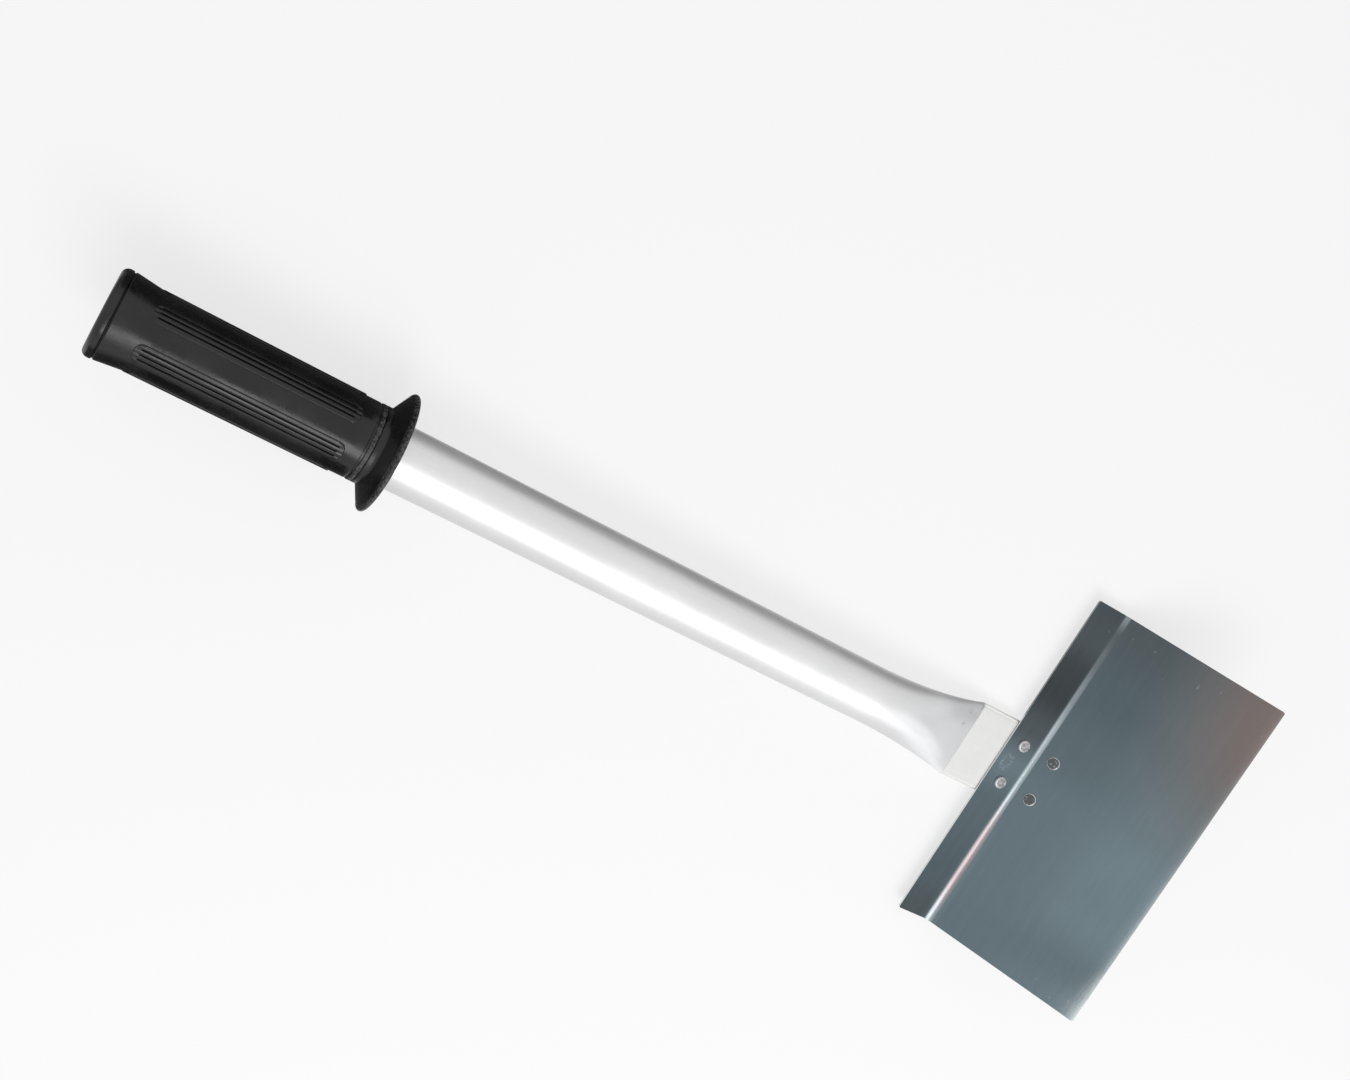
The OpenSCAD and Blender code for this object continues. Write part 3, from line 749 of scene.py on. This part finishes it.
def handled_group():
    """Soft patches left by hands and storage: a broad noise broken by a finer
    one."""

    def fill(n, given):
        broad = n.noise(given["Vector"], given["Patches per metre"], 3.0, 0.55)
        fine = n.noise(given["Vector"], n.times(given["Patches per metre"], 9.0), 4.0, 0.65)
        mixed = n.plus(n.times(broad, 0.75), n.times(fine, 0.25))
        return n.remap(mixed, given["From"], n.plus(given["From"], 0.25))

    inputs = [("Vector", "Vector", None), ("Patches per metre", "Float", 30.0), ("From", "Float", 0.4)]
    return shader_group("Handled patches", inputs, "Patches", fill)


def new_finish(name, roughness, metallic=0.0, **constants):
    """A material with one Principled shader, and its Nodes."""
    material = bpy.data.materials.new(name)
    material.use_nodes = True
    n = Nodes(material.node_tree)
    shader = n.found("BSDF_PRINCIPLED")
    shader.inputs["Roughness"].default_value = roughness
    shader.inputs["Metallic"].default_value = metallic
    for key, value in constants.items():
        shader.inputs[key.replace("_", " ")].default_value = value
    return material, n, shader


def dress(n, shader, base, rough, height, strength, distance=0.2 * MM):
    """Gives a shader its colour, its roughness and a bump from height."""
    n.put(shader.inputs["Base Color"], base)
    n.put(shader.inputs["Roughness"], rough)
    bump = n.add("ShaderNodeBump", {"Strength": strength, "Distance": distance, "Height": height})
    n.put(shader.inputs["Normal"], bump.outputs[0])


def rgb(value, gain=1.0):
    """A property's colour times a gain, as a socket's four numbers."""
    return tuple(min(1.0, c * gain) for c in value) + (1.0,)


def blade_finish(blade):
    """Blue-grey spring steel, its darkness partly a painted dark reflection: a heel made darker by
    painted dark reflection, a painted highlight along the bend, a painted warm reflection in the front left
    corner, pale ground edges with a painted highlight at the front right, faint lines and a worn round scuff."""
    material, n, shader = new_finish("Spring steel", 0.2, 1.0)
    # s runs over the sheet from its back edge, y to the left, depth through it
    sheet = n.attribute("sheet")
    s, y, depth = n.split(sheet)
    steel, shade, glint, rose, bright = blade.steel, blade.shade, blade.glint, blade.rose, blade.bright
    lines = n.group(brushed_group(), vector=sheet, stretch=(1.0, 0.035, 1.0), lines_per_metre=2600.0)
    patches = n.group(handled_group(), vector=sheet, patches_per_metre=22.0)
    grain = n.noise(n.mapped(sheet, scale=(1.0, 0.3, 1.0)), 1500.0, 3.0, 0.7)
    # Tints across the sheet, from its right side to its left
    across = n.remap(y, -blade.width / 2, blade.width / 2, soft=False)
    # The heel strip is darker than the panel: painted dark reflection
    heel = n.ramp(
        across, (0.0, shade, 1.15), (0.14, steel, 0.66), (0.38, steel, 0.84), (0.5, steel, 1.16),
        (0.61, shade, 1.35), (0.72, shade, 0.74), (0.8, shade, 0.8), (0.9, shade, 1.24), (1.0, shade, 1.1))
    near = n.ramp(
        across, (0.0, steel, 0.98), (0.25, steel, 1.04), (0.46, steel, 1.04), (0.62, steel, 0.88),
        (0.8, steel, 0.72), (1.0, shade, 1.4))
    far = n.ramp(
        across, (0.0, steel, 1.08), (0.11, steel, 0.93), (0.25, steel, 1.2), (0.4, steel, 1.26),
        (0.56, steel, 1.16), (0.8, steel, 0.98), (1.0, steel, 0.86))
    panel = n.mix(n.remap(s, 34 * MM, 82 * MM), near, far)
    # A painted warm reflection in the front left corner
    away = n.oval((s, 98 * MM, 64 * MM), (y, 78 * MM, 95 * MM))
    panel = n.mix(n.remap(away, 1.0, 0.0), panel, rgb(blade.warm_reflection))
    base = n.mix(n.remap(s, blade.heel + 0.5 * MM, blade.heel + 2.5 * MM), heel, panel)
    # A painted highlight along the bend, with a painted warm reflection toward the right, fading at the left
    painted_bend_highlight = n.ramp(
        across, (0.0, glint, 0.72), (0.14, rose, 0.92), (0.28, rose, 1.05), (0.44, glint, 0.92),
        (0.62, glint, 1.0), (0.74, glint, 0.62), (0.86, glint, 0.38), (0.94, glint, 0.27), (1.0, glint, 0.62))
    crown = n.off(s, blade.heel + 2.75 * MM)
    rosy = n.remap(y, -10 * MM, -50 * MM)
    line_width = n.remap(rosy, 0.0, 1.0, 1.7 * MM, 2.3 * MM)
    base = n.mix(n.remap(crown, line_width, 0.8 * MM), base, painted_bend_highlight)
    # Ground pale along the front edge, with a painted highlight that makes it palest at its right end
    front = blade.heel + blade.bend_radius * blade.bend + blade.panel
    right = n.remap(y, -45 * MM, -85 * MM)
    run = n.remap(right, 0.0, 1.0, 1.5 * MM, 3.2 * MM)
    fade = n.maths("EXPONENT", n.past(s, front, run))
    streaks = n.plus(n.times(lines, 0.9), n.times(grain, 0.8))
    strength = n.remap(right, 0.0, 1.0, n.remap(y, 60 * MM, -50 * MM, 0.2, 0.5), 0.85)
    base = n.mix(n.times(fade, streaks, strength), base, rgb(bright))
    # A round scuff behind the heel rivets
    away = n.oval((s, blade.heel - 9.3 * MM, 3.2 * MM), (y, 0.0, 4.4 * MM))
    ring = n.remap(n.off(away, 0.75), 0.45, 0.0)
    scuff = n.times(ring, n.remap(n.noise(sheet, 900.0, 3.0, 0.7), 0.45, 0.65))
    base = n.mix(n.times(scuff, 0.42), base, rgb(bright))
    # Fine lines, a few pale nicks, and the bare metal of the sheet's edges
    base = n.mix(n.times(lines, 0.035), base, rgb(bright))
    nicks = n.remap(n.noise(n.mapped(sheet, scale=(1.0, 0.6, 1.0)), 420.0, 1.0, 0.4), 0.72, 0.78)
    nicks = n.times(nicks, n.remap(n.maths("ABSOLUTE", y), 62 * MM, 76 * MM))
    base = n.mix(n.times(nicks, 0.17), base, rgb(bright))
    bare = n.between(depth, 0.04, 0.12, 0.88, 0.96)
    base = n.mix(bare, base, rgb(bright, 1.4))
    rough = n.plus(n.times(lines, 0.03), n.times(patches, 0.04), n.times(n.plus(bare, fade), 0.12),
                   n.times(n.remap(crown, 5 * MM, 3 * MM), rosy, 0.1), 0.18)
    dress(n, shader, base, rough, lines, 0.012)
    return material


def tube_finish(tube, place):
    """Satin drawn aluminium with fine lines along the tube, paler and more even
    on the pressed tab, with painted highlights on the flare and the tab's rounded
    sides, painted shade on the flare's left side, and a few soft marks."""
    material, n, shader = new_finish("Satin aluminium", 0.45, 1.0)
    own = n.attribute("tool_place")
    x, aside = n.split(own)[:2]
    metal, fold, side = tube.metal, place.fold_x, place.tab_w / 2
    lines = n.group(brushed_group(), vector=own, stretch=(0.012, 1.0, 1.0), lines_per_metre=2400.0)
    patches = n.group(handled_group(), vector=own, patches_per_metre=40.0)
    pressed = n.remap(x, fold - 45 * MM, fold - 10 * MM)
    base = n.mix(n.times(lines, 0.16), rgb(metal), rgb(metal, 0.8))
    base = n.mix(n.times(patches, 0.12), base, rgb(metal, 1.25))
    base = n.mix(n.times(pressed, 0.8), base, rgb(metal, 1.06))
    # A painted highlight along a curve to the fold's right corner, and painted shade by its left one
    down = n.past(x, fold - 46 * MM, 34 * MM)
    curve = n.plus(n.times(down, down, 9 * MM), 2 * MM)
    painted_flare_highlight = n.times(n.remap(n.maths("ABSOLUTE", n.plus(aside, curve)), 6 * MM, 1 * MM),
                     n.remap(x, fold - 62 * MM, fold - 35 * MM), n.remap(x, fold, fold - 25 * MM, 0.4, 1.0))
    base = n.mix(painted_flare_highlight, base, rgb(metal, 1.26))
    painted_flare_shade = n.times(n.remap(aside, 4 * MM, 12 * MM), n.remap(x, fold - 28 * MM, fold - 14 * MM))
    base = n.mix(painted_flare_shade, base, rgb(metal, 0.87))
    # Small marks beside the fold, where the press caught the tube
    marks = 0.0
    flat = n.mapped(own, scale=(1.0, 1.0, 0.0))
    for before, left, size in PRESS_MARKS:
        away = n.add("ShaderNodeVectorMath", {0: flat, 1: (fold - before * MM, left * MM, 0)},
                     operation="DISTANCE").outputs["Value"]
        marks = n.maths("MAXIMUM", marks, n.remap(away, size * MM, 0.3 * size * MM))
    slanted = n.mapped(own, rotation=(0, 0, 0.7), scale=(0.5, 1.6, 1.0))
    marks = n.times(marks, n.remap(n.noise(slanted, 800.0, 3.0, 0.6), 0.48, 0.6))
    base = n.mix(n.times(marks, 0.6), base, rgb(metal, 0.45))
    # A painted highlight on the tab's rounded sides, most of all the left one
    painted_side_highlight = n.plus(n.remap(aside, side - 1.6 * MM, side - 0.6 * MM),
                       n.remap(aside, 1.6 * MM - side, 0.6 * MM - side, 0.0, 0.25))
    tab = n.mix(painted_side_highlight, rgb(tube.pale), rgb(tube.pale, 1.48))
    base = n.mix(n.remap(x, fold - 1.0 * MM, fold + 0.5 * MM), base, tab)
    rough = n.plus(n.times(lines, 0.08), n.times(patches, 0.05), n.times(pressed, 0.24), 0.38)
    dress(n, shader, base, rough, lines, 0.08)
    return material


def grip_finish(grip):
    """Black moulded rubber: half gloss, with a fine orange-peel skin, dust in soft
    smears and specks, a painted highlight on the ribs' crests, painted shade in
    the grooves, and scuffed rings."""
    material, n, shader = new_finish("Moulded rubber", 0.3, 0.0, Specular_IOR_Level=0.4)
    where = n.own_place()
    x, crest, hollow = n.split(n.attribute("relief"))
    patches = n.group(handled_group(), vector=where, patches_per_metre=60.0, **{"from": 0.42})
    specks = n.remap(n.noise(where, 1400.0, 3.0, 0.7), 0.55, 0.8)
    # The neck ring and the guard's rim are scuffed satin
    groove, front = grip.length - grip.neck_groove_back, grip.length - grip.guard_edge
    ring = n.between(x, groove - 0.1 * MM, groove, groove + 1.6 * MM, groove + 1.9 * MM)
    rim = n.between(x, front - 0.5 * MM, front, grip.length - 0.3 * MM, grip.length)
    ring_band = n.times(n.maths("MAXIMUM", ring, rim), n.remap(n.noise(where, 850.0, 4.0, 0.7), 0.44, 0.58))
    # Pale dust in smears and specks, and a painted highlight on the ribs' crests in the same colour
    dust_and_sheen = n.plus(n.times(patches, 0.06), n.times(specks, 0.05), n.times(crest, 0.04))
    # Less of it in the grooves: painted shade
    dust_and_sheen = n.times(dust_and_sheen, n.maths("SUBTRACT", 1.0, n.times(hollow, 0.8)))
    base = n.mix(n.times(ring_band, 0.5), n.mix(dust_and_sheen, rgb(grip.rubber), rgb(grip.dust_and_sheen)), rgb(grip.scuff))
    rough = n.plus(n.times(patches, 0.2), 0.18, n.times(specks, 0.1), n.times(ring_band, 0.25))
    skin = n.plus(n.noise(where, 900.0, 2.0, 0.5), n.times(n.noise(where, 160.0, 2.0, 0.5), 1.5),
                  n.times(ring_band, 0.8))
    dress(n, shader, base, rough, skin, 0.16)
    return material


def hammered_finish(rivets):
    """Bright metal, dented all over by the hammer that set it, with a painted
    highlight round the head's edge.
    """
    material, n, shader = new_finish("Hammered rivet", 0.3, 1.0)
    where, metal, head_r = n.own_place(), rivets.metal, rivets.head / 2
    dents = n.noise(where, 1100.0, 2.0, 0.55)
    patches = n.remap(n.noise(where, 900.0, 3.0, 0.6), 0.35, 0.65)
    # The head's edge is lighter: a painted highlight round the rim
    edge = n.remap(n.split(n.attribute("turned"))[0], head_r - 1.1 * MM, head_r)
    base = n.mix(edge, n.mix(patches, rgb(metal, 0.75), rgb(metal, 1.3)), rgb(metal, 1.7))
    rough = n.plus(n.times(patches, 0.12), 0.24, n.times(edge, 0.3))
    dress(n, shader, base, rough, dents, 0.5, 0.3 * MM)
    return material


def dark_reflection_finish(rivets):
    """Smooth metal coloured with a painted dark reflection, with a painted highlight
    round the head's rim and a few small bright smears."""
    material, n, shader = new_finish("Rivet with painted reflection", 0.2, 1.0)
    radius, head_r = n.split(n.attribute("turned"))[0], rivets.head / 2
    # A painted highlight round the head's rim
    ring_band = n.remap(radius, head_r - 0.6 * rivets.head_round, head_r - 0.15 * MM)
    smears = n.remap(n.noise(n.own_place(), 700.0, 3.0, 0.65), 0.5, 0.75)
    # The head's colour is a painted dark reflection, with a few small bright smears
    base = n.mix(n.times(smears, 0.3), rgb(rivets.dark_reflection), rgb(rivets.rim))
    base = n.mix(n.times(ring_band, 0.9), base, rgb(rivets.rim))
    rough = n.plus(n.times(smears, 0.15), n.times(ring_band, 0.32), 0.18)
    dress(n, shader, base, rough, smears, 0.12)
    return material


# ---- Operators ----


class SHOVEL_OT_blade(bpy.types.Operator):
    """Build the bent steel blade"""

    bl_idname = "shovel.blade"
    bl_label = "Blade"

    def execute(self, context):
        shovel, place = laid_out(context)
        surface = blade_surface(shovel.blade, place)
        build_piece("blade_sheet", "blade", surface, "sheet", 30.0,
                    blade_finish(shovel.blade))
        return {"FINISHED"}


class SHOVEL_OT_handle_tube(bpy.types.Operator):
    """Build the aluminium tube with its flattened end"""

    bl_idname = "shovel.handle_tube"
    bl_label = "Handle tube"

    def execute(self, context):
        shovel, place = laid_out(context)
        surface = tube_surface(shovel.tube, place)
        build_piece("handle_tube_drawn", "handle_tube", surface, "tool_place", 12.5,
                    tube_finish(shovel.tube, place))
        return {"FINISHED"}


class SHOVEL_OT_grip(bpy.types.Operator):
    """Build the ribbed rubber grip with its thumb guard"""

    bl_idname = "shovel.grip"
    bl_label = "Grip"

    def execute(self, context):
        shovel, place = laid_out(context)
        surface = grip_surface(shovel.grip, place)
        build_piece("grip_moulding", "grip", surface, "relief", 50.0,
                    grip_finish(shovel.grip))
        return {"FINISHED"}


class SHOVEL_OT_rivets(bpy.types.Operator):
    """Build the four rivets that hold the blade to the tab"""

    bl_idname = "shovel.rivets"
    bl_label = "Rivets"

    def execute(self, context):
        shovel, place = laid_out(context)
        finishes = {"heel": hammered_finish(shovel.rivets), "face": dark_reflection_finish(shovel.rivets)}
        for pair, finish in finishes.items():
            for hand, side in (("left", 1), ("right", -1)):
                surface = rivet_surface(shovel.rivets, place, pair, side)
                build_piece(f"{pair}_rivet_{hand}_set", f"{pair}_rivet_{hand}",
                            surface, "turned", 35.0, finish)
        return {"FINISHED"}


class SHOVEL_OT_studio(bpy.types.Operator):
    """Set up the floor, the lamp, the daylight and the camera"""

    bl_idname = "shovel.studio"
    bl_label = "Studio"

    def execute(self, context):
        scene, studio = context.scene, context.scene.shovel.studio
        scene.view_settings.view_transform = "Standard"
        self.floor(scene, studio)
        self.daylight(scene, studio)
        self.card(scene, "edge_card", *EDGE_CARD)
        self.card(scene, "grip_card", *GRIP_CARD)
        self.softbox(scene, studio)
        self.camera(scene)
        return {"FINISHED"}

    def put_in(self, scene, name, data):
        thing = bpy.data.objects.new(name, data)
        scene.collection.objects.link(thing)
        return thing

    def seen(self, n):
        """1 for what the camera sees, straight, in a reflection or through glass."""
        paths = n.add("ShaderNodeLightPath").outputs
        straight = n.maths("MAXIMUM", paths["Is Camera Ray"], paths["Is Glossy Ray"])
        return n.maths("MAXIMUM", straight, paths["Is Transmission Ray"])

    def floor(self, scene, studio):
        """A wide pale floor, part of whose look is plain white."""
        mesh = bpy.data.meshes.new("floor")
        corners = [(x * FLOOR_REACH, y * FLOOR_REACH, 0) for x, y in ((-1, -1), (1, -1), (1, 1), (-1, 1))]
        mesh.from_pydata(corners, [], [(0, 1, 2, 3)])
        floor = self.put_in(scene, "floor", mesh)
        material, n, shader = new_finish("Studio floor", 0.9, Specular_IOR_Level=0.0)
        shader.inputs["Base Color"].default_value = rgb(studio.floor)
        white = n.add("ShaderNodeEmission", {"Color": (1, 1, 1, 1), "Strength": 1.0})
        blend = n.add("ShaderNodeMixShader", {
            0: n.times(self.seen(n), studio.white), 1: shader.outputs[0], 2: white.outputs[0]})
        n.put(n.found("OUTPUT_MATERIAL").inputs["Surface"], blend.outputs[0])
        mesh.materials.append(material)

    def card(self, scene, name, reach, line, grey):
        """A card that shows only in reflections, to give pale metal and black
        rubber something darker than the floor to mirror at their edges. It runs
        along x between the two ends of reach, over a line of y and z places."""
        mesh = bpy.data.meshes.new(name)
        points = [(x, y, z) for y, z in line for x in reach]
        mesh.from_pydata(points, [], [(i, i + 1, i + 3, i + 2) for i in range(0, len(points) - 2, 2)])
        card = self.put_in(scene, name, mesh)
        card.visible_camera = card.visible_diffuse = False
        card.visible_shadow = card.visible_transmission = False
        material, _, shader = new_finish(name.replace("_", " ").capitalize(), 0.9)
        shader.inputs["Base Color"].default_value = (grey, grey, grey, 1)
        mesh.materials.append(material)

    def daylight(self, scene, studio):
        """Even light from all round, which the camera and reflections see white."""
        world = bpy.data.worlds.new("Daylight")
        world.use_nodes = True
        scene.world = world
        n = Nodes(world.node_tree)
        background = n.found("BACKGROUND")
        background.inputs["Color"].default_value = (1, 1, 1, 1)
        level = n.remap(self.seen(n), 0.0, 1.0, studio.daylight, 1.0, soft=False)
        n.put(background.inputs["Strength"], level)

    def softbox(self, scene, studio):
        """A large lamp that faces straight down, turned about the upright axis."""
        light = bpy.data.lights.new("softbox", "AREA")
        light.shape, light.energy = "RECTANGLE", studio.softbox
        light.size, light.size_y = SOFTBOX_SIZE
        lamp = self.put_in(scene, "softbox", light)
        lamp.location = SOFTBOX_PLACE
        lamp.rotation_euler = (0, 0, SOFTBOX_TURN)

    def camera(self, scene):
        """The camera, placed and aimed by the tool's own axes."""
        data = bpy.data.cameras.new("Camera")
        data.sensor_width, data.lens = SENSOR_WIDTH, LENS
        data.clip_start, data.clip_end = 0.01, 20.0
        camera = self.put_in(scene, "Camera", data)
        right, down = (a * ALONG + b * LEFT + c * UP for a, b, c in (CAMERA_RIGHT, CAMERA_DOWN))
        right /= np.linalg.norm(right)
        down -= right * (down @ right)
        down /= np.linalg.norm(down)
        turn = np.stack([right, -down, np.cross(right, -down)], 1)
        place = laid([np.multiply(CAMERA_PLACE, MM)])[0]
        camera.matrix_world = Matrix([[*row, p] for row, p in zip(turn, place)] + [[0, 0, 0, 1]])
        scene.camera = camera


class ShovelSettings(bpy.types.PropertyGroup):
    """Everything about the shovel that can be changed"""

    tube: bpy.props.PointerProperty(type=ShovelTube)
    blade: bpy.props.PointerProperty(type=ShovelBlade)
    rivets: bpy.props.PointerProperty(type=ShovelRivets)
    grip: bpy.props.PointerProperty(type=ShovelGrip)
    studio: bpy.props.PointerProperty(type=ShovelStudio)


OPERATORS = (SHOVEL_OT_blade, SHOVEL_OT_handle_tube, SHOVEL_OT_grip, SHOVEL_OT_rivets, SHOVEL_OT_studio)


class SHOVEL_PT_panel(bpy.types.Panel):
    """Lists the shovel's pieces and their sizes"""

    bl_idname = "SHOVEL_PT_panel"
    bl_label = "Roofing shovel"
    bl_space_type = "VIEW_3D"
    bl_region_type = "UI"
    bl_category = "Shovel"

    def draw(self, context):
        shovel = context.scene.shovel
        for operator, part in zip(OPERATORS, ("blade", "tube", "grip", "rivets", "studio")):
            box = self.layout.box()
            box.operator(operator.bl_idname)
            settings = getattr(shovel, part)
            for key in settings.__annotations__:
                box.prop(settings, key)


CLASSES = (ShovelTube, ShovelBlade, ShovelRivets, ShovelGrip, ShovelStudio, ShovelSettings,
           *OPERATORS, SHOVEL_PT_panel)


def register():
    for cls in CLASSES:
        bpy.utils.register_class(cls)
    bpy.types.Scene.shovel = bpy.props.PointerProperty(type=ShovelSettings)


def unregister():
    del bpy.types.Scene.shovel
    for cls in reversed(CLASSES):
        bpy.utils.unregister_class(cls)


def main():
    register()
    for operator in OPERATORS:
        group, action = operator.bl_idname.split(".")
        getattr(getattr(bpy.ops, group), action)()


if __name__ == "__main__":
    main()
